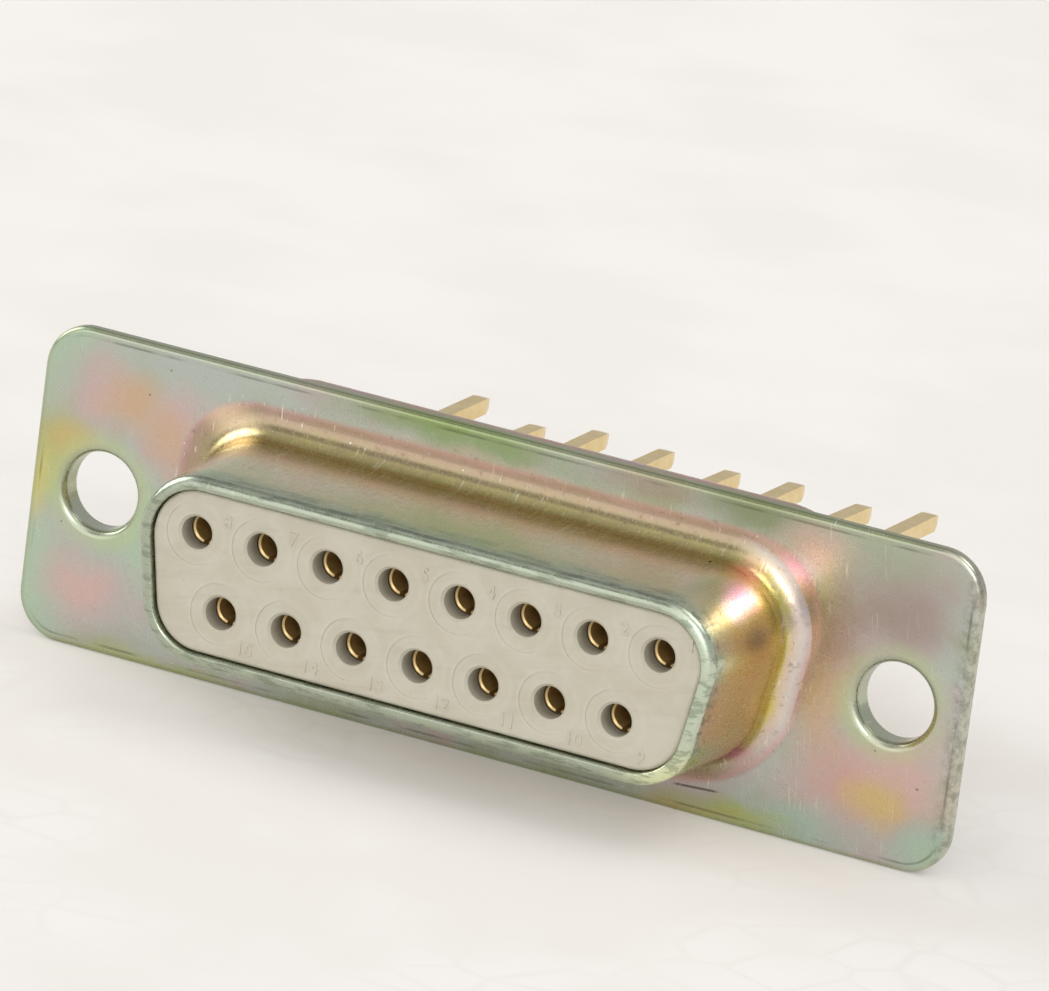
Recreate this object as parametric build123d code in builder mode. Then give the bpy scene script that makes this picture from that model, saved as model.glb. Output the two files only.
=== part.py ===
from build123d import *
from math import cos, radians, tan
import os

# A socket connector with a D-shaped hood and two rows of contacts with long square posts.
# Sizes are in millimetres. X runs along the flange, the plug comes from -Y, and +Z is up.
# The origin is the centre of the flange's front face, midway between the mounting holes.

# Contact layout
UPPER_COUNT = 8
LOWER_COUNT = 7
PITCH = 2.743
ROW_GAP = 2.845

# Hood of the front shell: its outside is measured at the flange face and narrows forwards
END_MARGIN = 2.62
ROW_MARGIN = 2.53
HOOD_WIDTH = (UPPER_COUNT - 1) * PITCH + 2 * END_MARGIN
HOOD_HEIGHT = ROW_GAP + 2 * ROW_MARGIN
SLANT = 10.0
HOOD_DRAFT = 3.0
HOOD_CORNER = 2.75
HOOD_DEPTH = 6.12
HOOD_ROOT = 0.95
RIM_ROUND = 0.36
RIM_TURN_IN = 0.5
RIM_LIP_ROUND = 0.1

# Rear shell: a deeper and wider D cup round the insulators
CUP_SIDE = 1.53
CUP_RISE = 1.41
CUP_WIDTH = HOOD_WIDTH + 2 * CUP_SIDE
CUP_HEIGHT = HOOD_HEIGHT + 2 * CUP_RISE
CUP_DRAFT = 2.0
CUP_CORNER = 3.9
CUP_END = 4.85
CUP_ROOT = 0.5
CUP_ROUND = 1.0
CUP_TURN_IN = 1.35
CUP_LIP_BEVEL = 0.12

# Flanges: the rear one is a little smaller than the front one
HOLE_DIAMETER = 3.05
HOLE_OFFSET = 4.44
HOLE_EDGE = 2.91
FLANGE_MARGIN = 0.912
HOLE_SPACING = HOOD_WIDTH + 2 * HOLE_OFFSET
FLANGE_WIDTH = HOLE_SPACING + 2 * HOLE_EDGE
FLANGE_HEIGHT = CUP_HEIGHT + 2 * FLANGE_MARGIN
FLANGE_CORNER = 1.8
FRONT_SHEET = 0.45
EDGE_ROLL = 0.22
REAR_SHEET = 0.4
REAR_INSET = 0.15
REAR_EDGE_ROLL = 0.12

# Collar drawn out of the front flange at each mounting hole and staked over the rear flange
COLLAR_WALL = 0.3
COLLAR_LEAD = 0.35
STAKE_WIDTH = 0.4
STAKE_THICKNESS = 0.3
STAKE_BEVEL = 0.1

# Insulators
FIT = 0.05
FACE_RECESS = 0.18
FACE_ROUND = 0.2
NOSE_BEVEL = 0.2
SPLIT = 1.95
BOSS_STAND = 0.5
BOSS_ROUND = 0.25

# Each contact hole: a shallow moulded dish, then a web with a bevelled hole for the plug's pin
DISH_DIAMETER = 2.4
DISH_DEPTH = 0.04
WEB_HOLE = 1.27
WEB_BEVEL = 0.1
WEB = 0.92

# Contacts
SOCKET_BORE = 1.04
SOCKET_DEPTH = 4.9
BARREL_WALL = 0.38
BARREL_BEVEL = 0.1
MOUTH_DEPTH = 0.06
BARREL_DIAMETER = SOCKET_BORE + 2 * BARREL_WALL
SLIT_WIDTH = 0.22
SLIT_LENGTH = 3.3
SHOULDER_STEP = 0.2
SHOULDER_DIAMETER = BARREL_DIAMETER + 2 * SHOULDER_STEP
SHOULDER_THICKNESS = 0.7
SHANK_DIAMETER = 1.2
SHANK_SUNK = 0.15
POST = 0.635
POST_LENGTH = 13.2
POST_POINT = 0.45
POST_TIP = 0.4

# How far the tips of the upper row stand off true, from the left: sideways and downwards
TIP_SHIFT = (0.08, -0.12, -0.17, -0.04, 0.09, 0.07, 0.22, 0.24)
TIP_DROP = (0.0, 0.57, 0.16, 0.23, 0.39, 0.21, 0.39, 0.04)

FLANGE_BACK = FRONT_SHEET + REAR_SHEET
FACE = FACE_RECESS - HOOD_DEPTH
CAVITY_START = FACE + DISH_DEPTH + WEB
COLLAR_RADIUS = HOLE_DIAMETER / 2 + COLLAR_WALL
BOSS_END = CUP_END + BOSS_STAND
POST_END = BOSS_END + POST_LENGTH

# How near an edge lies to the place it is picked by
NEAR = 0.001


def at(y, x=0.0, z=0.0):
    """A sketch plane that faces the plug, y behind the flange face."""
    return Plane(origin=(x, y, z), x_dir=(1, 0, 0), z_dir=(0, -1, 0))


def d_outline(plane, width, height, corner):
    """The D of the family: a trapezium, wide at the top, with round corners."""
    slant = radians(SLANT)
    top = width / 2 + corner * (tan(slant) + 1 / cos(slant) - 1)
    foot = top - height * tan(slant)
    with BuildSketch(plane) as outline:
        with BuildLine():
            Polyline(
                (-top, height / 2),
                (top, height / 2),
                (foot, -height / 2),
                (-foot, -height / 2),
                close=True,
            )
        make_face()
        fillet(outline.vertices(), corner)
    return outline.sketch


def hood_outline(y, inset):
    """The hood's outline at depth y, moved inwards by inset."""
    step = inset - y * tan(radians(HOOD_DRAFT))
    return d_outline(at(y), HOOD_WIDTH - 2 * step, HOOD_HEIGHT - 2 * step, HOOD_CORNER - step)


def cup_outline(y, inset):
    """The rear cup's outline at depth y, moved inwards by inset."""
    step = inset + (y - FLANGE_BACK) * tan(radians(CUP_DRAFT))
    return d_outline(at(y), CUP_WIDTH - 2 * step, CUP_HEIGHT - 2 * step, CUP_CORNER - step)


def row_places(count, z):
    """Places of one row of contacts, from left to right."""
    return [((i - (count - 1) / 2) * PITCH, z) for i in range(count)]


def edges_at(part, y, width, height):
    """The edges in the plane at depth y that lie within a centred rectangle."""
    flat = part.edges().filter_by(lambda edge: edge.bounding_box().size.Y < NEAR)
    flat = flat.filter_by_position(Axis.Y, y - NEAR, y + NEAR)
    flat = flat.filter_by(lambda edge: edge.bounding_box().max.X < width / 2 + NEAR)
    flat = flat.filter_by(lambda edge: edge.bounding_box().min.X > -width / 2 - NEAR)
    return flat.filter_by(lambda edge: abs(edge.center().Z) < height / 2 + NEAR)


upper_places = row_places(UPPER_COUNT, ROW_GAP / 2)
lower_places = row_places(LOWER_COUNT, -ROW_GAP / 2)
places = upper_places + lower_places

# Front shell: flange and hood drawn from one sheet
with BuildPart() as front_shell:
    with BuildSketch(at(0)):
        RectangleRounded(FLANGE_WIDTH, FLANGE_HEIGHT, FLANGE_CORNER)
    extrude(amount=-FRONT_SHEET)
    fillet(edges_at(front_shell, 0, FLANGE_WIDTH, FLANGE_HEIGHT), EDGE_ROLL)
    extrude(hood_outline(0, 0), amount=HOOD_DEPTH, taper=HOOD_DRAFT)
    fillet(edges_at(front_shell, -HOOD_DEPTH, HOOD_WIDTH, HOOD_HEIGHT), RIM_ROUND)
    fillet(edges_at(front_shell, 0, HOOD_WIDTH, HOOD_HEIGHT), HOOD_ROOT)
    extrude(hood_outline(FRONT_SHEET, FRONT_SHEET), amount=HOOD_DEPTH, taper=HOOD_DRAFT, mode=Mode.SUBTRACT)
    fillet(edges_at(front_shell, FRONT_SHEET, HOOD_WIDTH, HOOD_HEIGHT), HOOD_ROOT + FRONT_SHEET)
    extrude(hood_outline(-HOOD_DEPTH, RIM_TURN_IN), amount=-2 * FRONT_SHEET, mode=Mode.SUBTRACT)
    lip_width = HOOD_WIDTH - 2 * RIM_TURN_IN
    lip_height = HOOD_HEIGHT - 2 * RIM_TURN_IN
    fillet(edges_at(front_shell, -HOOD_DEPTH, lip_width, lip_height), RIM_LIP_ROUND)
    with BuildSketch(at(FRONT_SHEET)):
        with GridLocations(HOLE_SPACING, 0, 2, 1):
            Circle(COLLAR_RADIUS)
    extrude(amount=-REAR_SHEET)
    with BuildSketch(at(FLANGE_BACK)):
        with GridLocations(HOLE_SPACING, 0, 2, 1):
            Circle(COLLAR_RADIUS + STAKE_WIDTH)
    extrude(amount=-STAKE_THICKNESS)
    with Locations(at(0)):
        with GridLocations(HOLE_SPACING, 0, 2, 1):
            Hole(HOLE_DIAMETER / 2)
    round_edges = front_shell.edges().filter_by(GeomType.CIRCLE)
    bore_edges = round_edges.filter_by(lambda edge: abs(edge.radius - HOLE_DIAMETER / 2) < NEAR)
    fillet(bore_edges.group_by(Axis.Y)[0], COLLAR_LEAD)
    chamfer(bore_edges.group_by(Axis.Y)[-1], STAKE_BEVEL)
    stake_edges = round_edges.filter_by(lambda edge: edge.radius > COLLAR_RADIUS + STAKE_WIDTH - NEAR)
    chamfer(stake_edges.group_by(Axis.Y)[-1], STAKE_BEVEL)

# Rear shell: flange and cup drawn from one sheet, with a pierced back
with BuildPart() as rear_shell:
    rear_width = FLANGE_WIDTH - 2 * REAR_INSET
    rear_height = FLANGE_HEIGHT - 2 * REAR_INSET
    with BuildSketch(at(FRONT_SHEET)):
        RectangleRounded(rear_width, rear_height, FLANGE_CORNER - REAR_INSET)
    extrude(amount=-REAR_SHEET)
    fillet(edges_at(rear_shell, FLANGE_BACK, rear_width, rear_height), REAR_EDGE_ROLL)
    extrude(cup_outline(FLANGE_BACK, 0), amount=FLANGE_BACK - CUP_END, taper=CUP_DRAFT)
    fillet(edges_at(rear_shell, CUP_END, CUP_WIDTH, CUP_HEIGHT), CUP_ROUND)
    fillet(edges_at(rear_shell, FLANGE_BACK, CUP_WIDTH, CUP_HEIGHT), CUP_ROOT)
    cup_floor = CUP_END - REAR_SHEET
    extrude(
        cup_outline(FRONT_SHEET, REAR_SHEET),
        amount=FRONT_SHEET - cup_floor,
        taper=CUP_DRAFT,
        mode=Mode.SUBTRACT,
    )
    fillet(edges_at(rear_shell, cup_floor, CUP_WIDTH, CUP_HEIGHT), CUP_ROUND - REAR_SHEET)
    fillet(edges_at(rear_shell, FRONT_SHEET, CUP_WIDTH, CUP_HEIGHT), CUP_ROOT + REAR_SHEET)
    extrude(cup_outline(CUP_END, CUP_TURN_IN), amount=2 * REAR_SHEET, mode=Mode.SUBTRACT)
    chamfer(edges_at(rear_shell, CUP_END, CUP_WIDTH - 2 * CUP_TURN_IN, CUP_HEIGHT), CUP_LIP_BEVEL)
    with Locations(at(0)):
        with GridLocations(HOLE_SPACING, 0, 2, 1):
            Hole(COLLAR_RADIUS + FIT)

# Front insulator: fills the hood, and its shoulder is held between the two shells
with BuildPart() as front_insulator:
    nose_end = FRONT_SHEET + FIT - HOOD_DEPTH
    extrude(hood_outline(FRONT_SHEET, FRONT_SHEET + FIT), amount=FRONT_SHEET - nose_end, taper=HOOD_DRAFT)
    chamfer(edges_at(front_insulator, nose_end, HOOD_WIDTH, HOOD_HEIGHT), NOSE_BEVEL)
    extrude(hood_outline(nose_end, RIM_TURN_IN + FIT), amount=nose_end - FACE)
    fillet(edges_at(front_insulator, FACE, HOOD_WIDTH, HOOD_HEIGHT), FACE_ROUND)
    extrude(cup_outline(FRONT_SHEET, REAR_SHEET + FIT), amount=FRONT_SHEET - SPLIT, taper=CUP_DRAFT)
    fillet(edges_at(front_insulator, FRONT_SHEET, HOOD_WIDTH, HOOD_HEIGHT), HOOD_ROOT + FRONT_SHEET)
    with Locations(at(FACE)):
        with Locations(*places):
            CounterBoreHole(WEB_HOLE / 2, DISH_DIAMETER / 2, DISH_DEPTH)
    web_edges = front_insulator.edges().filter_by(GeomType.CIRCLE)
    web_edges = web_edges.filter_by(lambda edge: abs(edge.radius - WEB_HOLE / 2) < NEAR)
    chamfer(web_edges.group_by(Axis.Y)[0], WEB_BEVEL)
    with BuildSketch(at(CAVITY_START)):
        with Locations(*places):
            Circle(BARREL_DIAMETER / 2 + FIT)
    extrude(amount=CAVITY_START - SPLIT, mode=Mode.SUBTRACT)
    with BuildSketch(at(SPLIT - SHOULDER_THICKNESS)):
        with Locations(*places):
            Circle(SHOULDER_DIAMETER / 2 + FIT)
    extrude(amount=-SHOULDER_THICKNESS, mode=Mode.SUBTRACT)

# Rear insulator: closes the cavities and stands a little way out of the cup
with BuildPart() as rear_insulator:
    ledge = CUP_END - REAR_SHEET - FIT
    extrude(cup_outline(SPLIT, REAR_SHEET + FIT), amount=SPLIT - ledge, taper=CUP_DRAFT)
    fillet(edges_at(rear_insulator, ledge, CUP_WIDTH, CUP_HEIGHT), CUP_ROUND - REAR_SHEET + FIT)
    extrude(cup_outline(ledge, CUP_TURN_IN + 2 * FIT), amount=ledge - BOSS_END)
    fillet(edges_at(rear_insulator, BOSS_END, CUP_WIDTH, CUP_HEIGHT), BOSS_ROUND)
    with Locations(at(SPLIT)):
        with Locations(*places):
            Hole(SHANK_DIAMETER / 2 + FIT)


def socket_contact(x, z, shift, drop):
    """A turned contact: slit socket, shoulder, shank and a square post whose tip stands off true."""
    tip = CAVITY_START + FIT
    shoulder = SPLIT - SHOULDER_THICKNESS
    shank_end = BOSS_END - SHANK_SUNK
    post_shoulder = POST_END - POST_POINT
    barrel = BARREL_DIAMETER / 2
    bore = SOCKET_BORE / 2
    with BuildPart() as contact:
        with BuildSketch(Plane(origin=(x, 0, z), x_dir=(1, 0, 0), z_dir=(0, 0, 1))):
            with BuildLine():
                Polyline(
                    (0, tip + SOCKET_DEPTH),
                    (bore, tip + SOCKET_DEPTH),
                    (bore, tip + MOUTH_DEPTH),
                    (bore + BARREL_BEVEL, tip),
                    (barrel - BARREL_BEVEL, tip),
                    (barrel, tip + BARREL_BEVEL),
                    (barrel, shoulder),
                    (SHOULDER_DIAMETER / 2, shoulder),
                    (SHOULDER_DIAMETER / 2, SPLIT),
                    (SHANK_DIAMETER / 2, SPLIT),
                    (SHANK_DIAMETER / 2, shank_end),
                    (0, shank_end),
                    close=True,
                )
            make_face()
        revolve(axis=Axis((x, 0, z), (0, 1, 0)))
        with BuildSketch(at(tip, x, z)):
            Rectangle(SLIT_WIDTH, SHOULDER_DIAMETER)
        extrude(amount=-SLIT_LENGTH, mode=Mode.SUBTRACT)
        with BuildSketch(at(shank_end, x, z)):
            Rectangle(POST, POST)
        with BuildSketch(at(post_shoulder, x + shift, z - drop)):
            Rectangle(POST, POST)
        loft()
        with BuildSketch(at(post_shoulder, x + shift, z - drop)):
            Rectangle(POST, POST)
        with BuildSketch(at(POST_END, x + shift, z - drop)):
            Rectangle(POST_TIP, POST_TIP)
        loft()
    return contact.part


# Contact 1 is at the right of the upper row, and the numbers run on to the left
shifts = TIP_SHIFT + (0.0,) * LOWER_COUNT
drops = TIP_DROP + (0.0,) * LOWER_COUNT
numbers = list(range(UPPER_COUNT, 0, -1)) + list(range(UPPER_COUNT + LOWER_COUNT, UPPER_COUNT, -1))

os.makedirs("parts", exist_ok=True)
for name, piece in (
    ("front_shell", front_shell.part),
    ("rear_shell", rear_shell.part),
    ("front_insulator", front_insulator.part),
    ("rear_insulator", rear_insulator.part),
):
    piece.label = name
    export_step(piece, f"parts/{name}.step")

for number, (x, z), shift, drop in zip(numbers, places, shifts, drops):
    contact = socket_contact(x, z, shift, drop)
    contact.label = f"contact_{number}"
    export_step(contact, f"parts/contact_{number}.step")
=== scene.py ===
import math

import bpy
from mathutils import Matrix, Vector


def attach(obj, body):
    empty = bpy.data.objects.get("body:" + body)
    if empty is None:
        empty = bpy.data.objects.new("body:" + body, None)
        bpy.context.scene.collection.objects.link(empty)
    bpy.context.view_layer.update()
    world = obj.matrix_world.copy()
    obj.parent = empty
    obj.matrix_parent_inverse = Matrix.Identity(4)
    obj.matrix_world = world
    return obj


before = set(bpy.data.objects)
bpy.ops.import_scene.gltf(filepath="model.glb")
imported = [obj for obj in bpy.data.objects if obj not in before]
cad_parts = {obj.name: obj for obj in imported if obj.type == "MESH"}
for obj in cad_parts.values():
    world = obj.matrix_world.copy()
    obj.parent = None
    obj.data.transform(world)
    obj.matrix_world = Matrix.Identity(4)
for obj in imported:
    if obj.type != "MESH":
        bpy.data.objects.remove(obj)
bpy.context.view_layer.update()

# A small socket connector: chromated steel shells, a pale insulator and gilt contacts.
# Sizes in this script are in millimetres and are turned to metres where they are used.
MM = 0.001

# Camera, from a fit to the photograph's contact holes, mounting holes and flange
IMAGE_WIDTH = 1049
SENSOR_WIDTH = 36.0
FOCAL_PX = 11245.7
CAMERA_PLACE = (162.647, -367.319, 124.279)
CAMERA_RIGHT = (0.89235, 0.43379, 0.12461)
CAMERA_UP = (-0.2336, 0.20767, 0.9499)
CAMERA_BACK = (0.38618, -0.87675, 0.28665)
CLIP_NEAR_M = 0.01
CLIP_FAR_M = 20.0

# Places on the part that the materials and small pieces refer to
HOLE_X = 16.66
FACE_Y = -5.94
PITCH = 2.743
ROW_Z = 1.4225
UPPER_COUNT = 8
LOWER_COUNT = 7
HOOD_SIZE = (24.441, 7.905)
HOOD_CORNER = 2.75
HOOD_SLANT = math.radians(10)
HOOD_DRAFT = math.radians(3)
FLANGE_HALF = (19.57, 6.275)
FLANGE_CORNER = 1.8
FLANGE_FOOT = -FLANGE_HALF[1]


def contact_places():
    """Number and place of each contact, seen from the plug's side."""
    upper = [(UPPER_COUNT - i, (i - (UPPER_COUNT - 1) / 2) * PITCH, ROW_Z) for i in range(UPPER_COUNT)]
    total = UPPER_COUNT + LOWER_COUNT
    lower = [(total - i, (i - (LOWER_COUNT - 1) / 2) * PITCH, -ROW_Z) for i in range(LOWER_COUNT)]
    return upper + lower


def tint(red, green, blue):
    """A display colour from 0 to 255 as the linear colour that a shader takes, by the sRGB curve."""
    return tuple(((v / 255 + 0.055) / 1.055) ** 2.4 if v > 10 else v / 3295 for v in (red, green, blue))


def lit(colour, gain):
    return tuple(min(1.0, channel * gain) for channel in colour)


class Nodes:
    """A node tree, built one call at a time."""

    def __init__(self, tree):
        self.tree = tree
        self.tree.nodes.clear()

    def feed(self, socket, value):
        """Sets a socket, or links it where the value is another node's output."""
        if isinstance(value, bpy.types.NodeSocket):
            self.tree.links.new(value, socket)
        elif isinstance(value, (tuple, list)) and len(value) == 3 and socket.type == "RGBA":
            socket.default_value = (*value, 1.0)
        else:
            socket.default_value = value

    def node(self, kind, inputs, **settings):
        """Adds a node with its settings and inputs, which are keyed by name or number."""
        made = self.tree.nodes.new(kind)
        for key, value in settings.items():
            setattr(made, key, value)
        for key, value in inputs.items():
            self.feed(made.inputs[key], value)
        return made

    def math(self, operation, first, second=0.0, third=0.0):
        return self.node("ShaderNodeMath", {0: first, 1: second, 2: third}, operation=operation).outputs[0]

    def total(self, *values):
        """The sum of two values or more."""
        result = values[0]
        for value in values[1:]:
            result = self.math("ADD", result, value)
        return result

    def product(self, *values):
        result = values[0]
        for value in values[1:]:
            result = self.math("MULTIPLY", result, value)
        return result

    def vector(self, operation, first, second=(0.0, 0.0, 0.0)):
        return self.node("ShaderNodeVectorMath", {0: first, 1: second}, operation=operation).outputs[0]

    def scaled(self, value, factor):
        return self.node("ShaderNodeVectorMath", {0: value, "Scale": factor}, operation="SCALE").outputs[0]

    def length(self, value):
        return self.node("ShaderNodeVectorMath", {0: value}, operation="LENGTH").outputs["Value"]

    def hypotenuse(self, across, upright):
        squares = self.total(self.product(across, across), self.product(upright, upright))
        return self.math("SQRT", squares)

    def place(self):
        """The place on the part, in millimetres, and its three coordinates."""
        on_part = self.node("ShaderNodeTexCoord", {}).outputs["Object"]
        where = self.scaled(on_part, 1 / MM)
        parts = self.node("ShaderNodeSeparateXYZ", {0: where}).outputs
        return where, parts[0], parts[1], parts[2]

    def noise(self, where, scale, detail=2.0, rough=0.5, warp=0.0, output="Fac"):
        inputs = {"Vector": where, "Scale": scale, "Detail": detail, "Roughness": rough, "Distortion": warp}
        return self.node("ShaderNodeTexNoise", inputs).outputs[output]

    def cells(self, where, scale, feature="F1"):
        made = self.node("ShaderNodeTexVoronoi", {"Vector": where, "Scale": scale}, feature=feature)
        return made.outputs["Distance"]

    def stretched(self, where, scale, turn=0.0):
        """Coordinates squeezed or drawn out, after a turn about Y in degrees."""
        rotation = (0.0, math.radians(turn), 0.0)
        turned = self.node("ShaderNodeMapping", {"Vector": where, "Rotation": rotation}).outputs[0]
        return self.node("ShaderNodeMapping", {"Vector": turned, "Scale": scale}).outputs[0]

    def streaks(self, where, scale, turn=0.0, detail=2.0, rough=0.5):
        """Noise drawn out into streaks, with a scale of its own along each axis."""
        return self.noise(self.stretched(where, scale, turn), 1.0, detail, rough)

    def span(self, value, low, high, to_low=0.0, to_high=1.0, smooth=True):
        """Maps a value from one range to another, and holds it at the ends."""
        kind = "SMOOTHSTEP" if smooth else "LINEAR"
        inputs = {"Value": value, "From Min": low, "From Max": high, "To Min": to_low, "To Max": to_high}
        return self.node("ShaderNodeMapRange", inputs, interpolation_type=kind).outputs[0]

    def band(self, value, middle, half, soften):
        """1 within half of the middle, falling to 0 over the softening beyond it."""
        offset = self.math("ABSOLUTE", self.math("SUBTRACT", value, middle))
        return self.span(offset, half, half + soften, 1.0, 0.0)

    def ramp(self, value, stops):
        """A colour ramp from (place, colour) stops."""
        made = self.node("ShaderNodeValToRGB", {0: value})
        elements = made.color_ramp.elements
        while len(elements) < len(stops):
            elements.new(0.5)
        for element, (place, colour) in zip(elements, stops):
            element.position = place
            element.color = (*colour, 1.0)
        return made.outputs[0]

    def mix(self, amount, first, second, blend="MIX"):
        inputs = {0: amount, 6: first, 7: second}
        return self.node("ShaderNodeMix", inputs, data_type="RGBA", blend_type=blend).outputs[2]

    def bump(self, height, strength, distance, normal=None):
        inputs = {"Height": height, "Strength": strength, "Distance": distance * MM}
        if normal:
            inputs["Normal"] = normal
        return self.node("ShaderNodeBump", inputs).outputs[0]


class Shader(Nodes):
    """A material and its node tree."""

    def __init__(self, name):
        self.material = bpy.data.materials.new(name)
        self.material.use_nodes = True
        super().__init__(self.material.node_tree)

    def finish(self, **inputs):
        """Adds the surface shader and closes the material."""
        output = self.node("ShaderNodeOutputMaterial", {})
        surface = self.node("ShaderNodeBsdfPrincipled", {})
        for key, value in inputs.items():
            self.feed(surface.inputs[key.replace("_", " ")], value)
        self.tree.links.new(surface.outputs[0], output.inputs["Surface"])
        return self.material


def patch(shader, where, centre, reach):
    """1 at a centre, falling softly to 0 at an elliptical reach around it."""
    offset = shader.vector("SUBTRACT", where, centre)
    distance = shader.length(shader.vector("DIVIDE", offset, reach))
    return shader.span(distance, 0.1, 1.0, 1.0, 0.0)


def rounded_distance(shader, beyond_x, beyond_z, corner):
    """Distance outside a rounded outline, from how far a place lies beyond its sides less the corner."""
    corner_x = shader.math("MAXIMUM", beyond_x, 0.0)
    corner_z = shader.math("MAXIMUM", beyond_z, 0.0)
    outside = shader.hypotenuse(corner_x, corner_z)
    inside = shader.math("MINIMUM", shader.math("MAXIMUM", beyond_x, beyond_z), 0.0)
    return shader.math("SUBTRACT", shader.total(outside, inside), corner)


def flange_depth(shader, x, z):
    """How far inside the flange's rounded outline a place is, in millimetres."""
    beyond_x = shader.math("SUBTRACT", shader.math("ABSOLUTE", x), FLANGE_HALF[0] - FLANGE_CORNER)
    beyond_z = shader.math("SUBTRACT", shader.math("ABSOLUTE", z), FLANGE_HALF[1] - FLANGE_CORNER)
    return shader.product(rounded_distance(shader, beyond_x, beyond_z, FLANGE_CORNER), -1.0)


def sharp_half(width, corner, slant):
    """Half the width of a D outline's top, if its corners were sharp."""
    return width / 2 + corner * (math.tan(slant) + 1 / math.cos(slant) - 1)


def hood_distance(shader, x, z):
    """How far outside the hood's D outline a place is, in millimetres."""
    lean = math.tan(HOOD_SLANT)
    top = sharp_half(HOOD_SIZE[0], HOOD_CORNER, HOOD_SLANT)
    side = shader.total(top - HOOD_SIZE[1] / 2 * lean, shader.product(z, lean))
    beyond_x = shader.math("SUBTRACT", shader.math("ABSOLUTE", x), side)
    beyond_x = shader.product(beyond_x, math.cos(HOOD_SLANT))
    beyond_x = shader.total(beyond_x, HOOD_CORNER)
    beyond_z = shader.math("SUBTRACT", shader.math("ABSOLUTE", z), HOOD_SIZE[1] / 2 - HOOD_CORNER)
    return rounded_distance(shader, beyond_x, beyond_z, HOOD_CORNER)


def contact_radius(shader, x, z):
    """Distance from the nearest contact's axis, in millimetres."""
    upper = shader.math("GREATER_THAN", z, 0.0)
    turns = shader.total(shader.product(x, 1 / PITCH), shader.product(upper, 0.5), 0.5)
    across = shader.product(shader.math("SUBTRACT", shader.math("FRACT", turns), 0.5), PITCH)
    upright = shader.math("SUBTRACT", shader.math("ABSOLUTE", z), ROW_Z)
    return shader.hypotenuse(across, upright)


# The chromate film's interference colours, as they show on the flange
SAGE = tint(165, 172, 150)
MINT = tint(172, 193, 170)
LEAF = tint(140, 160, 110)
MOSS = tint(134, 142, 108)
BLUE_GREY = tint(176, 183, 176)
LILAC = tint(184, 173, 172)
PINK = tint(203, 172, 165)
ROSE = tint(200, 160, 152)
PEACH = tint(200, 168, 132)
AMBER = tint(202, 178, 118)
LEMON = tint(205, 196, 116)
LIME = tint(170, 178, 112)
CLAY = tint(166, 142, 128)
MAUVE = tint(160, 146, 138)
TEAL = tint(164, 186, 176)
OCHRE = tint(196, 170, 96)

# Colours of the film over the hood, by how far along the sheet from its root: -1.6 mm out on the
# flange, 0 at the foot of the wall, 6.1 at the rim. The right end has its own.
RUN_START = -1.6
RUN_LENGTH = 7.75
HOOD_RUN = (
    (-1.3, tint(178, 168, 156)),
    (-1.1, tint(196, 162, 156)),
    (-0.85, tint(176, 152, 134)),
    (-0.35, tint(172, 156, 124)),
    (0.25, tint(196, 182, 126)),
    (1.0, tint(206, 192, 132)),
    (1.9, tint(210, 200, 168)),
    (3.4, tint(208, 198, 180)),
    (4.8, tint(202, 196, 168)),
    (5.4, tint(176, 184, 160)),
    (6.1, tint(174, 182, 164)),
)
END_RUN = (
    (-1.35, tint(178, 160, 150)),
    (-1.0, tint(206, 178, 176)),
    (-0.5, tint(214, 204, 198)),
    (0.0, tint(226, 204, 180)),
    (0.45, tint(220, 206, 110)),
    (1.1, tint(214, 188, 96)),
    (2.6, tint(218, 190, 122)),
    (4.0, tint(222, 200, 140)),
    (5.1, tint(226, 212, 168)),
    (5.7, tint(206, 216, 196)),
    (6.1, tint(200, 212, 190)),
)
# Patches on the hood: colour, centre and reach in millimetres, amount. Most are the film's colours; some are
# painted highlights and one is a painted reflection, as marked.
HOOD_FILM_HIGHLIGHT_AND_REFLECTION_PATCHES = (
    # The next four are painted highlights: the colours of the highlight at the hood's right corner and on
    # its left flare
    (tint(250, 176, 146), (10.5, -0.9, 3.75), (1.0, 1.1, 0.9), 0.85),
    (tint(255, 198, 222), (11.0, -2.5, 3.3), (1.1, 1.7, 1.1), 0.95),
    (tint(255, 226, 190), (-11.6, -0.4, 4.2), (1.8, 1.0, 1.2), 0.8),
    (tint(255, 226, 232), (11.2, -3.4, 3.0), (0.8, 1.0, 0.9), 0.8),
    (tint(150, 138, 100), (11.9, -2.4, 1.9), (0.8, 1.7, 0.8), 0.75),
    (tint(216, 120, 160), (10.9, -0.9, -3.3), (1.2, 1.2, 0.8), 0.85),
    (tint(128, 120, 136), (12.7, -0.3, 3.0), (0.9, 0.8, 1.5), 0.7),
    # A painted reflection of the bright floor on the rim's lower right
    (tint(240, 244, 196), (10.8, -5.9, -3.3), (3.0, 1.1, 2.2), 0.8),
)

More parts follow.
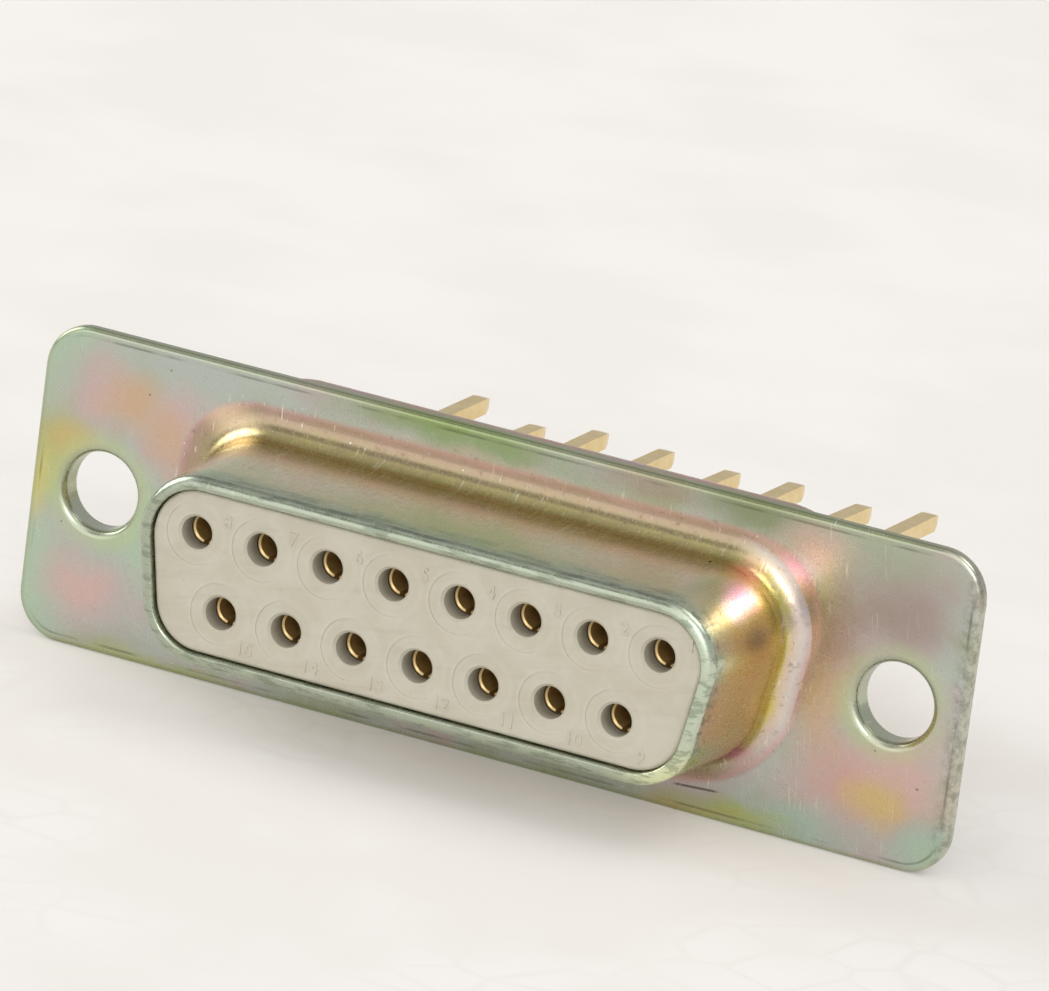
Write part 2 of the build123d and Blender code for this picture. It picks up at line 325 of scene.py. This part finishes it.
# Patches of colour on the flange's front: colour, centre and reach (x, z) in millimetres, amount
FLANGE_PATCHES = (
    (MINT, (-18.6, 5.2), (4.4, 4.0), 1.0),
    (MINT, (-19.2, -4.0), (3.0, 5.0), 1.0),
    (MINT, (-14.6, -1.8), (2.6, 3.4), 0.8),
    (BLUE_GREY, (-13.0, 5.6), (5.4, 2.2), 1.0),
    (LILAC, (-17.1, 3.9), (2.9, 2.7), 0.95),
    (PINK, (-16.8, 4.0), (2.0, 1.8), 0.6),
    (PINK, (-13.6, 3.3), (3.0, 2.2), 0.65),
    (PEACH, (-15.7, 3.8), (1.9, 1.9), 0.75),
    (PEACH, (-13.9, 2.4), (2.2, 1.9), 0.6),
    (LIME, (-18.6, 1.3), (2.4, 3.0), 0.8),
    (AMBER, (-18.0, 1.6), (1.9, 1.7), 0.7),
    (LEMON, (-19.3, -0.2), (1.0, 2.4), 0.7),
    (LILAC, (-16.4, -4.1), (3.6, 2.7), 0.9),
    (PINK, (-17.1, -3.9), (2.1, 2.0), 0.85),
    (LIME, (-13.6, -6.4), (6.0, 0.8), 0.8),
    (LEAF, (-2.4, 6.1), (6.8, 1.2), 1.0),
    (LEAF, (-0.6, 5.5), (4.4, 1.0), 0.6),
    (PINK, (0.0, 4.9), (9.0, 0.5), 0.35),
    (CLAY, (5.9, 6.0), (4.2, 1.2), 0.6),
    (MOSS, (10.2, 5.9), (3.4, 1.4), 0.85),
    (SAGE, (15.6, 5.4), (5.0, 1.8), 0.9),
    (PINK, (12.8, 5.0), (2.2, 1.3), 0.75),
    (MAUVE, (16.4, 3.5), (3.8, 2.6), 1.0),
    (CLAY, (14.0, 2.2), (2.2, 3.2), 0.8),
    (PEACH, (14.0, -0.8), (1.6, 3.4), 0.75),
    (LILAC, (13.6, -4.0), (3.0, 2.0), 0.6),
    (ROSE, (15.6, -3.4), (3.8, 2.8), 0.9),
    (PINK, (17.6, -2.7), (3.0, 3.0), 0.85),
    (AMBER, (16.4, -3.9), (1.9, 1.5), 0.85),
    (TEAL, (13.4, -5.7), (4.0, 1.3), 0.8),
    (TEAL, (19.0, -5.3), (2.4, 2.0), 0.9),
    (MINT, (18.9, -5.6), (1.7, 1.5), 0.8),
    (LIME, (10.2, -5.9), (3.8, 0.9), 0.9),
    (OCHRE, (8.6, -6.1), (2.6, 0.5), 0.5),
)
FILM_GAIN = 1.1
# The film's ground colours on the flange, by the value of a cloudy noise
FLAT_STOPS = ((0.36, SAGE), (0.5, BLUE_GREY), (0.62, LILAC))
GRIME = tint(112, 98, 74)
RUBBED = tint(226, 222, 206)
# Scales of the streaks along X, Y and Z
DRAW_MARKS = (11.0, 0.5, 11.0)
UPRIGHT_LINES = (9.0, 1.0, 0.55)

# Where the film changes, in millimetres: the start and the end of each soft change
FLANGE_FRONT_Y = (-0.9, -0.5)
HOOD_START_RUN = (-1.28, -0.98)
HOOD_END_X = (9.4, 11.9)
RIM_Y = (-4.6, -5.6)
HALO_RADIUS = (1.7, 2.7)
COLLAR_RADIUS = (1.62, 1.95)
EDGE_ROLL = (0.05, 0.3)
EDGE_STRIP_X = (18.7, 19.3)
CUP_START_Y = (0.9, 1.4)
# The painted shade line inside the rolled edge, where the edge starts to roll: how deep it lies, its half
# width and its softening
EDGE_SHADE_LINE = (0.34, 0.02, 0.05)
# The tool mark below the hood's right end
TOOL_X = 9.3
TOOL_Z = -5.18
TOOL_SLOPE = 0.06

# Small dark marks on the flange's front: centre (x, z) and reach (x, z) in millimetres
FLANGE_MARKS = (
    ((18.07, -2.99), (0.1, 0.07)),
    ((-14.25, 5.43), (0.08, 0.06)),
    ((-15.02, 4.29), (0.07, 0.07)),
    ((-15.7, 0.3), (0.07, 0.05)),
    ((16.2, -1.95), (0.06, 0.06)),
    ((-18.1, -1.5), (0.05, 0.07)),
)


def run_ramp(shader, value, stops):
    """A colour ramp whose stops are given in millimetres along the sheet."""
    return shader.ramp(value, [((place - RUN_START) / RUN_LENGTH, colour) for place, colour in stops])


def chromate_colour(shader, where, x, y, z):
    """The film's colours on the front shell, with painted highlights and a painted reflection on the hood,
    and how far along its sheet a place is.
    """
    drift = shader.noise(where, 0.42, 2.0, 0.5, 0.0, "Color")
    offset = shader.vector("SUBTRACT", drift, (0.5, 0.5, 0.5))
    warped = shader.vector("ADD", where, shader.scaled(offset, 1.8))
    clouds = shader.noise(where, 0.2, 3.0, 0.5, 0.5)
    wisps = shader.noise(warped, 0.5, 3.0, 0.55, 0.8)
    flat = shader.ramp(clouds, [(place, lit(colour, FILM_GAIN)) for place, colour in FLAT_STOPS])
    for colour, centre, reach, amount in FLANGE_PATCHES:
        spot = patch(shader, warped, (centre[0], 0.0, centre[1]), (reach[0], 60.0, reach[1]))
        strength = shader.product(spot, shader.span(wisps, 0.25, 0.5, 0.7 * amount, amount))
        flat = shader.mix(strength, flat, lit(colour, FILM_GAIN))
    from_hole = shader.math("SUBTRACT", shader.math("ABSOLUTE", x), HOLE_X)
    ring = shader.hypotenuse(from_hole, z)
    halo = shader.product(shader.span(ring, *HALO_RADIUS, 0.6, 0.0), shader.span(wisps, 0.3, 0.6, 0.5, 1.0))
    flat = shader.mix(halo, flat, lit(tint(180, 196, 146), FILM_GAIN))
    flat = shader.mix(shader.span(ring, *COLLAR_RADIUS, 0.6, 0.0), flat, tint(176, 180, 164))
    # Along the sheet from the root: out over the flange it is negative, up the wall positive
    around = shader.math("MAXIMUM", hood_distance(shader, x, z), 0.0)
    run = shader.math("SUBTRACT", shader.product(y, -1.0), around)
    wobble = shader.product(shader.math("SUBTRACT", wisps, 0.5), shader.span(run, -1.5, 2.0, 0.5, 2.2))
    place = shader.span(shader.total(run, wobble), RUN_START, RUN_START + RUN_LENGTH, smooth=False)
    along_top = run_ramp(shader, place, HOOD_RUN)
    at_end = run_ramp(shader, place, END_RUN)
    hood = shader.mix(shader.span(x, *HOOD_END_X), along_top, at_end)
    # Film patches, with painted highlights and a painted reflection among them
    for colour, centre, reach, amount in HOOD_FILM_HIGHLIGHT_AND_REFLECTION_PATCHES:
        hood = shader.mix(shader.product(patch(shader, where, centre, reach), amount), hood, colour)
    streaks = shader.streaks(where, (0.8, 3.0, 4.0), 0.0, 4.0, 0.65)
    rim_dark = shader.product(shader.span(streaks, 0.48, 0.62), shader.span(y, *RIM_Y))
    hood = shader.mix(shader.product(rim_dark, 0.5), hood, tint(112, 122, 104))
    return shader.mix(shader.span(run, *HOOD_START_RUN), flat, hood), run


def chromate_front():
    """Chromated drawn steel: soft colours, draw marks, scratches, stains and specks, with painted light and
    shade on the rolled edge and the hood.
    """
    shader = Shader("chromate_front")
    where, x, y, z = shader.place()
    colour, run = chromate_colour(shader, where, x, y, z)
    edge = flange_depth(shader, x, z)
    on_flange = shader.span(y, *FLANGE_FRONT_Y)
    # Rolled edge: a narrow painted shade line inside it, where the edge starts to roll, and yellow-green on
    # the roll itself, paler towards the right end as a painted reflection
    patchy = shader.span(shader.noise(where, 0.35, 2.0, 0.5), 0.4, 0.6)
    roll = shader.product(on_flange, shader.span(edge, *EDGE_ROLL, 1.0, 0.0))
    roll_film_and_reflection = shader.mix(shader.span(x, 17.0, 19.3), tint(160, 166, 116), tint(206, 204, 184))
    colour = shader.mix(shader.product(roll, 0.55), colour, roll_film_and_reflection)
    painted_edge_shade = shader.product(shader.band(edge, *EDGE_SHADE_LINE), on_flange, patchy)
    colour = shader.mix(shader.product(painted_edge_shade, 0.5), colour, tint(92, 92, 66))
    # Right end: a darker mottled strip along the edge
    mottle = shader.noise(where, 2.2, 4.0, 0.65)
    strip = shader.product(shader.span(x, *EDGE_STRIP_X), shader.span(mottle, 0.4, 0.62), on_flange)
    colour = shader.mix(shader.product(strip, 0.5), colour, tint(118, 116, 96))
    # Small marks and the tool mark below the hood's right end
    for centre, reach in FLANGE_MARKS:
        spot = patch(shader, where, (centre[0], 0.0, centre[1]), (reach[0], 2.0, reach[1]))
        colour = shader.mix(shader.product(spot, 0.75), colour, tint(96, 74, 60))
    tool_z = shader.math("SUBTRACT", z, shader.product(shader.math("SUBTRACT", x, TOOL_X), TOOL_SLOPE))
    tool_line = shader.band(tool_z, TOOL_Z, 0.02, 0.05)
    tool = shader.product(tool_line, shader.band(x, TOOL_X, 0.7, 0.3), on_flange)
    colour = shader.mix(shader.product(tool, 0.8), colour, tint(92, 78, 62))
    # Grime in fine speckles, thickest at the hood's root
    grime = shader.noise(where, 3.4, 5.0, 0.68)
    root = shader.band(run, -0.3, 0.7, 0.6)
    grime_amount = shader.total(0.1, shader.product(root, 0.35))
    colour = shader.mix(shader.product(shader.span(grime, 0.55, 0.72), grime_amount), colour, GRIME)
    # Draw marks run along the hood's wall, scratches across the flange
    draw = shader.streaks(where, DRAW_MARKS, 0.0, 3.0, 0.6)
    draw_lines = shader.product(shader.span(draw, 0.58, 0.68), shader.span(run, -1.0, -0.2))
    upright = shader.span(shader.streaks(where, UPRIGHT_LINES, 8.0, 2.0, 0.55), 0.62, 0.68)
    level = shader.span(shader.streaks(where, (0.5, 1.0, 10.0), -12.0, 2.0, 0.55), 0.64, 0.69)
    worn = shader.span(shader.noise(where, 0.5, 2.0, 0.5), 0.45, 0.62, 0.25, 1.0)
    right_side = shader.product(shader.band(x, 13.9, 1.2, 1.4), on_flange)
    crossed = shader.total(upright, shader.product(level, 0.7))
    scratches = shader.product(crossed, worn, shader.total(0.3, right_side))
    lines = shader.total(shader.product(draw_lines, 0.5), scratches)
    colour = shader.mix(shader.product(lines, 0.42), colour, RUBBED)
    # Short rubbed lines across the root's fillet
    rubbed = shader.span(shader.streaks(where, (8.0, 0.9, 0.9), 0.0, 2.0, 0.5), 0.64, 0.69)
    rubbed = shader.product(rubbed, root, shader.span(shader.noise(where, 1.3, 2.0, 0.5), 0.42, 0.55))
    colour = shader.mix(shader.product(rubbed, 0.6), colour, tint(244, 236, 216))
    # Bright specks where the film is rubbed through, mostly on the root's fillet
    specks = shader.span(shader.cells(where, 2.6), 0.05, 0.11, 1.0, 0.0)
    speck_area = shader.total(0.15, shader.product(root, 0.8))
    speck_area = shader.product(speck_area, shader.span(shader.noise(where, 1.1, 2.0, 0.5), 0.45, 0.6))
    colour = shader.mix(shader.product(specks, speck_area), colour, tint(245, 238, 224))
    grain = shader.noise(where, 15.0, 3.0, 0.6)
    ripple = shader.noise(where, 1.3, 2.0, 0.5)
    rough = shader.total(
        shader.span(grime, 0.3, 0.7, 0.19, 0.29),
        shader.product(lines, 0.1),
        shader.span(draw, 0.4, 0.7, -0.02, 0.04),
    )
    fine = shader.total(shader.product(draw, 0.25), shader.product(grain, 0.25), shader.product(lines, -0.6))
    normal = shader.bump(ripple, 0.25, 0.03, shader.bump(fine, 0.13, 0.01))
    return shader.finish(Base_Color=colour, Metallic=1.0, Roughness=rough, Normal=normal)


def chromate_rear():
    """The rear shell's film: browner on the cup, yellow-green at the flange's edge."""
    shader = Shader("chromate_rear")
    where, _, y, _ = shader.place()
    clouds = shader.noise(where, 0.22, 3.0, 0.55, 0.6)
    wisps = shader.noise(where, 0.7, 4.0, 0.6, 1.0)
    field = shader.total(shader.product(clouds, 0.65), shader.product(wisps, 0.35))
    cup = shader.ramp(
        field,
        (
            (0.38, tint(200, 156, 150)),
            (0.48, tint(190, 152, 134)),
            (0.56, tint(180, 164, 136)),
            (0.66, tint(186, 154, 160)),
        ),
    )
    sheet = shader.ramp(
        field,
        (
            (0.38, tint(180, 184, 132)),
            (0.48, tint(172, 190, 160)),
            (0.56, tint(186, 172, 166)),
            (0.66, tint(198, 168, 130)),
        ),
    )
    colour = shader.mix(shader.span(y, *CUP_START_Y), sheet, cup)
    grime = shader.noise(where, 3.0, 5.0, 0.66)
    colour = shader.mix(shader.span(grime, 0.55, 0.75, 0.0, 0.35), colour, GRIME)
    draw = shader.streaks(where, DRAW_MARKS, 0.0, 3.0, 0.6)
    scratches = shader.span(shader.streaks(where, UPRIGHT_LINES, 20.0, 2.0, 0.55), 0.63, 0.69)
    colour = shader.mix(shader.product(scratches, 0.3), colour, RUBBED)
    rough = shader.total(shader.span(grime, 0.3, 0.7, 0.2, 0.32), shader.product(scratches, 0.08))
    grain = shader.noise(where, 15.0, 3.0, 0.6)
    fine = shader.total(
        shader.product(draw, 0.5),
        shader.product(grain, 0.35),
        shader.product(scratches, -0.5),
    )
    normal = shader.bump(fine, 0.3, 0.012)
    return shader.finish(Base_Color=colour, Metallic=1.0, Roughness=rough, Normal=normal)


# Round each contact's axis, in millimetres: the radius, half width and softening of the pale ring painted as
# light over the dish's edge, then the start and the end of the hole's edge and of the barrel's end face,
# whose painted highlight gives way to painted shadow
DISH_EDGE_PAINTED_LIGHT = (1.18, 0.04, 0.16)
HOLE_EDGE = (0.62, 0.66)
BARREL_FACE_GLINT_TO_SHADOW = (0.56, 0.62)
# Behind the insulator's face, where the holes' shade starts and is full
HOLE_SHADE = (0.12, 0.95)
# Along a contact on Y: the soft changes at the bore's, the post's and the tip's start
BORE_Y = (-4.93, -4.86)
POST_Y = (4.6, 5.4)
TIP_Y = (17.6, 18.4)


def moulding():
    """The insulators' pale matte plastic, faintly mottled and specked, with a painted pale ring round each
    hole and painted shade inside the holes.
    """
    shader = Shader("insulator_plastic")
    where, x, y, z = shader.place()
    mottle = shader.noise(where, 0.9, 4.0, 0.6)
    speck = shader.noise(where, 8.0, 2.0, 0.7)
    colour = shader.mix(shader.span(mottle, 0.35, 0.65), tint(192, 186, 168), tint(198, 193, 177))
    colour = shader.mix(shader.span(speck, 0.64, 0.76, 0.0, 0.22), colour, tint(140, 128, 104))
    streak = shader.streaks(where, (0.35, 1.0, 2.4), 12.0, 3.0, 0.5)
    colour = shader.mix(shader.span(streak, 0.5, 0.7, 0.0, 0.22), colour, tint(172, 164, 144))
    radius = contact_radius(shader, x, z)
    upper = shader.math("GREATER_THAN", z, 0.0)
    longer = shader.product(upper, (UPPER_COUNT - LOWER_COUNT) / 2 * PITCH)
    row_end = shader.total(LOWER_COUNT / 2 * PITCH, longer)
    in_row = shader.math("LESS_THAN", shader.math("ABSOLUTE", x), row_end)
    # A pale ring painted as light over the dish's edge, softening the dark line its step shades
    ring = shader.product(shader.band(radius, *DISH_EDGE_PAINTED_LIGHT), in_row, 0.25)
    colour = shader.mix(ring, colour, tint(208, 203, 190))
    # Painted shade inside the contact holes, darker deeper in
    behind = shader.span(y, FACE_Y + HOLE_SHADE[0], FACE_Y + HOLE_SHADE[1])
    painted_hole_shade = shader.product(behind, shader.span(radius, *HOLE_EDGE, 1.0, 0.0))
    colour = shader.mix(shader.product(painted_hole_shade, 0.75), colour, tint(84, 74, 58))
    grain = shader.noise(where, 7.0, 5.0, 0.65)
    normal = shader.bump(grain, 0.22, 0.02, shader.bump(mottle, 0.3, 0.04))
    rough = shader.span(mottle, 0.3, 0.7, 0.48, 0.6)
    return shader.finish(Base_Color=colour, Roughness=rough, Normal=normal)


def gilt():
    """Thin gold over brass: brown and dull inside the sockets, with a painted highlight and painted shadow
    on the barrel's end face, paler and mottled on the posts.
    """
    shader = Shader("contact_gold")
    where, x, y, z = shader.place()
    mottle = shader.noise(where, 1.8, 4.0, 0.65)
    lines = shader.streaks(where, (14.0, 0.8, 14.0), 0.0, 3.0, 0.6)
    rings = shader.streaks(where, (0.6, 16.0, 0.6), 0.0, 2.0, 0.5)
    radius = contact_radius(shader, x, z)
    # The barrel's end face: a painted highlight at the bore's edge, painted shadow of the insulator's web
    # beyond it
    face = shader.mix(shader.span(radius, *BARREL_FACE_GLINT_TO_SHADOW), tint(236, 212, 160), tint(72, 56, 34))
    inner = shader.mix(mottle, tint(206, 172, 104), tint(226, 192, 124))
    bore = shader.span(y, *BORE_Y)
    socket = shader.mix(bore, face, inner)
    post = shader.mix(shader.span(mottle, 0.35, 0.65), tint(232, 206, 148), tint(240, 218, 168))
    colour = shader.mix(shader.span(y, *POST_Y), socket, post)
    stain = shader.noise(where, 4.5, 4.0, 0.65)
    stained = shader.product(shader.span(stain, 0.56, 0.74), shader.span(y, *POST_Y, 0.5, 0.1))
    colour = shader.mix(stained, colour, tint(160, 130, 84))
    tip = shader.span(y, *TIP_Y)
    colour = shader.mix(shader.product(tip, 0.5), colour, tint(236, 218, 178))
    in_socket = shader.span(y, *POST_Y, 1.0, 0.0)
    rough = shader.total(shader.span(lines, 0.3, 0.7, 0.3, 0.36), shader.product(in_socket, 0.05))
    turned = shader.product(rings, in_socket)
    metal = shader.span(y, *POST_Y, 0.55, 0.95)
    height = shader.total(shader.product(lines, 0.3), turned, shader.product(mottle, 0.5))
    normal = shader.bump(height, 0.25, 0.012)
    return shader.finish(Base_Color=colour, Metallic=metal, Roughness=rough, Normal=normal)


# The share of the floor's paleness that is its own, and where the seams fade on Y, in millimetres
FLOOR_OWN = 0.25
SEAM_FADE_Y = (-12.0, 30.0)


def foam():
    """Pale pressed-bead foam. Camera, glossy and transmission rays see a share of it as emission."""
    shader = Shader("floor_foam")
    where, _, y, _ = shader.place()
    seams = shader.cells(where, 0.3, "DISTANCE_TO_EDGE")
    clouds = shader.noise(where, 0.1, 2.0, 0.5)
    near = shader.span(y, *SEAM_FADE_Y, 1.0, 0.1)
    faint = shader.product(shader.span(clouds, 0.45, 0.62, 0.05, 0.4), near)
    seam = shader.product(shader.span(seams, 0.0, 0.08, 0.4, 0.0), faint)
    colour = shader.mix(shader.span(clouds, 0.35, 0.65), tint(236, 232, 227), tint(240, 237, 233))
    colour = shader.mix(seam, colour, tint(214, 206, 197))
    height = shader.total(shader.product(shader.span(seams, 0.0, 0.3), faint), shader.product(clouds, 2.0))
    normal = shader.bump(height, 0.16, 0.3)
    seen = shader.node("ShaderNodeLightPath", {}).outputs
    looked_at = shader.total(seen["Is Camera Ray"], seen["Is Glossy Ray"], seen["Is Transmission Ray"])
    strength = shader.product(shader.math("MINIMUM", looked_at, 1.0), FLOOR_OWN)
    base = shader.mix(1.0, colour, (1 - FLOOR_OWN,) * 3, "MULTIPLY")
    return shader.finish(
        Base_Color=base,
        Roughness=0.7,
        Normal=normal,
        Specular_IOR_Level=0.2,
        Emission_Color=colour,
        Emission_Strength=strength,
    )


def dress(node, material):
    """Gives a CAD node its material."""
    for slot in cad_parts[node].material_slots:
        slot.material = material


def metres(points):
    return [Vector(point) * MM for point in points]


def add_object(name, data):
    made = bpy.data.objects.new(name, data)
    bpy.context.collection.objects.link(made)
    return made


def digits(number, x, z, lift, size):
    """A raised contact number on the insulator's face."""
    text = bpy.data.curves.new(f"digit_{number}", "FONT")
    text.body = str(number)
    text.size = size * MM
    text.align_x = "CENTER"
    text.align_y = "CENTER"
    text.extrude = lift * MM
    text.bevel_depth = DIGIT_BEVEL * MM
    text.bevel_resolution = 1
    carrier = add_object(f"digit_{number}", text)
    bpy.context.view_layer.update()
    mesh = bpy.data.meshes.new_from_object(carrier.evaluated_get(bpy.context.evaluated_depsgraph_get()))
    bpy.data.objects.remove(carrier)
    mesh.transform(Matrix.Translation((x * MM, FACE_Y * MM, z * MM)) @ Matrix.Rotation(math.pi / 2, 4, "X"))
    return add_object(f"digit_{number}", mesh)


# The drawn metal's flare where the hood rises from the flange: wider round the corners
CORNER_STEPS = 24
SIDE_STEPS = 60
ARC_STEPS = 14
FLARE_RADIUS = 1.1
SKIN = 0.012
RUN_ON = 0.08
# Slow waves in the flare's radius: size, rate and start
FLARE_WAVES = ((0.012, 4.1, 0.0), (0.01, 2.3, 1.0))
# Centre (x, z) of each widening of the flare, how far it reaches and how much it adds
FLARE_SWELLS = (
    ((-12.0, 3.6), 3.6, 0.62),
    ((12.0, 3.6), 3.2, 0.42),
    ((-10.6, -3.6), 3.0, 0.2),
    ((10.6, -3.6), 3.0, 0.25),
)


def outline_run(width, height, corner, slant):
    """Points and outward directions along a D outline, in order: a trapezium with round corners."""
    top = sharp_half(width, corner, slant)
    foot = top - height * math.tan(slant)
    sharp = ((-top, height / 2), (top, height / 2), (foot, -height / 2), (-foot, -height / 2))
    ends = [Vector(end) for end in sharp]
    run = []
    for number, end in enumerate(ends):
        before = (ends[number - 1] - end).normalized()
        after = (ends[(number + 1) % 4] - end).normalized()
        middle = end + (before + after).normalized() * corner / math.sin(half_angle(ends, number))
        start = Vector((-before.y, before.x))
        stop = Vector((after.y, -after.x))
        for step in range(CORNER_STEPS + 1):
            out = start.slerp(stop, step / CORNER_STEPS)
            run.append((middle + out * corner, out))
        following = ends[(number + 1) % 4]
        far = following + (end - following).normalized() * corner / math.tan(half_angle(ends, number + 1))
        near = run[-1][0]
        for step in range(1, SIDE_STEPS):
            run.append((near.lerp(far, step / SIDE_STEPS), stop))
    return run


def half_angle(ends, number):
    """Half the angle between the two sides that meet at an end."""
    end = ends[number % 4]
    before = (ends[(number - 1) % 4] - end).normalized()
    return before.angle((ends[(number + 1) % 4] - end).normalized()) / 2


def flare():
    """A thin skin over the hood's root, from its wall to the flange."""
    points = []
    run = outline_run(*HOOD_SIZE, HOOD_CORNER, HOOD_SLANT)
    for place, out in run:
        radius = FLARE_RADIUS
        for size, rate, start in FLARE_WAVES:
            radius += size * math.sin(place.x * rate + start)
        for centre, reach, extra in FLARE_SWELLS:
            away = min(1.0, (place - Vector(centre)).length / reach)
            radius += extra * (1 - away * away) ** 2
        across = radius * (1 - math.sin(HOOD_DRAFT)) / math.cos(HOOD_DRAFT)
        profile = []
        for step in range(ARC_STEPS + 1):
            angle = HOOD_DRAFT + (math.pi / 2 - HOOD_DRAFT) * step / ARC_STEPS
            facing = Vector((math.cos(angle), math.sin(angle)))
            profile.append(Vector((across, radius)) - facing * (radius - SKIN))
        # Both ends run on a little and dip under the sheet
        wall = Vector((-math.sin(HOOD_DRAFT), math.cos(HOOD_DRAFT)))
        first = profile[0] + wall * RUN_ON - Vector((1.0, 0.0)) * 2 * SKIN
        last = profile[-1] + Vector((RUN_ON, -2 * SKIN))
        for away, height in [first] + profile + [last]:
            points.append((place.x + out.x * away, -height, place.y + out.y * away))
    rows = len(points) // len(run)
    faces = []
    for number in range(len(run)):
        start = number * rows
        following = (number + 1) % len(run) * rows
        for row in range(rows - 1):
            faces.append((start + row, start + row + 1, following + row + 1, following + row))
    mesh = bpy.data.meshes.new("hood_flare")
    mesh.from_pydata(metres(points), [], faces)
    mesh.polygons.foreach_set("use_smooth", [True] * len(faces))
    return add_object("hood_flare", mesh)


front_metal = chromate_front()
rear_metal = chromate_rear()
plastic = moulding()
gold = gilt()
dress("front_shell", front_metal)
dress("rear_shell", rear_metal)
dress("front_insulator", plastic)
dress("rear_insulator", plastic)
for number, _, _ in contact_places():
    dress(f"contact_{number}", gold)

hood_flare = flare()
hood_flare.data.materials.append(front_metal)
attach(hood_flare, "root")

# Raised numbers beside the contact holes
DIGIT_SIZE = 0.72
DIGIT_LIFT = 0.03
DIGIT_BEVEL = 0.012
UPPER_OFFSET = (1.28, 0.72)
LOWER_OFFSET = (1.2, -1.1)
for number, x, z in contact_places():
    offset = UPPER_OFFSET if z > 0 else LOWER_OFFSET
    piece = digits(number, x + offset[0], z + offset[1], DIGIT_LIFT, DIGIT_SIZE)
    piece.data.materials.clear()
    piece.data.materials.append(plastic)
    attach(piece, "root")

# Floor under the flange's lower edge
FLOOR_REACH = 3000
floor_mesh = bpy.data.meshes.new("floor")
FLOOR_SIGNS = ((-1, -1), (1, -1), (1, 1), (-1, 1))
corners = [(sx * FLOOR_REACH, sy * FLOOR_REACH, FLANGE_FOOT) for sx, sy in FLOOR_SIGNS]
floor_mesh.from_pydata(metres(corners), [], [(0, 1, 2, 3)])
floor = add_object("floor", floor_mesh)
floor.data.materials.append(foam())

# Soft light all round: a direction towards the light, the angles where it is full and where it ends
# in degrees, and its brightness
SKY_BASE = (0.55, 0.55, 0.55)
SKY_LOBES = (
    ((0.0, -0.92, 0.39), 26, 62, (1.4, 1.39, 1.37)),
    ((-0.39, -0.58, 0.72), 4, 18, (0.4, 0.4, 0.39)),
    ((0.36, -0.80, 0.47), 4, 12, (7.5, 7.5, 7.4)),
    ((0.45, 0.10, 0.89), 8, 22, (2.9, 2.85, 2.8)),
    ((-0.87, 0.02, 0.47), 13, 26, (3.2, 3.2, 3.2)),
    ((-0.35, 0.45, 0.82), 8, 30, (0.42, 0.42, 0.42)),
)
world = bpy.data.worlds.new("studio")
bpy.context.scene.world = world
world.use_nodes = True
sky = Nodes(world.node_tree)
direction = sky.node("ShaderNodeTexCoord", {}).outputs["Generated"]
light = sky.node("ShaderNodeRGB", {}).outputs[0]
light.default_value = (*SKY_BASE, 1.0)
for toward, full, end, brightness in SKY_LOBES:
    aim = tuple(Vector(toward).normalized())
    alignment = sky.node("ShaderNodeVectorMath", {0: direction, 1: aim}, operation="DOT_PRODUCT")
    facing = alignment.outputs["Value"]
    amount = sky.span(facing, math.cos(math.radians(end)), math.cos(math.radians(full)))
    light = sky.mix(amount, light, brightness)
background = sky.node("ShaderNodeBackground", {"Color": light, "Strength": 1.0})
sky.node("ShaderNodeOutputWorld", {"Surface": background.outputs[0]})

# Camera
right, up, back = Vector(CAMERA_RIGHT), Vector(CAMERA_UP), Vector(CAMERA_BACK)
lens = bpy.data.cameras.new("camera")
lens.sensor_fit = "HORIZONTAL"
lens.sensor_width = SENSOR_WIDTH
lens.lens = SENSOR_WIDTH * FOCAL_PX / IMAGE_WIDTH
lens.clip_start = CLIP_NEAR_M
lens.clip_end = CLIP_FAR_M
camera = add_object("camera", lens)
turn = Matrix((right, up, back)).transposed().to_4x4()
camera.matrix_world = Matrix.Translation(Vector(CAMERA_PLACE) * MM) @ turn
bpy.context.scene.camera = camera
bpy.context.scene.view_settings.view_transform = "Standard"
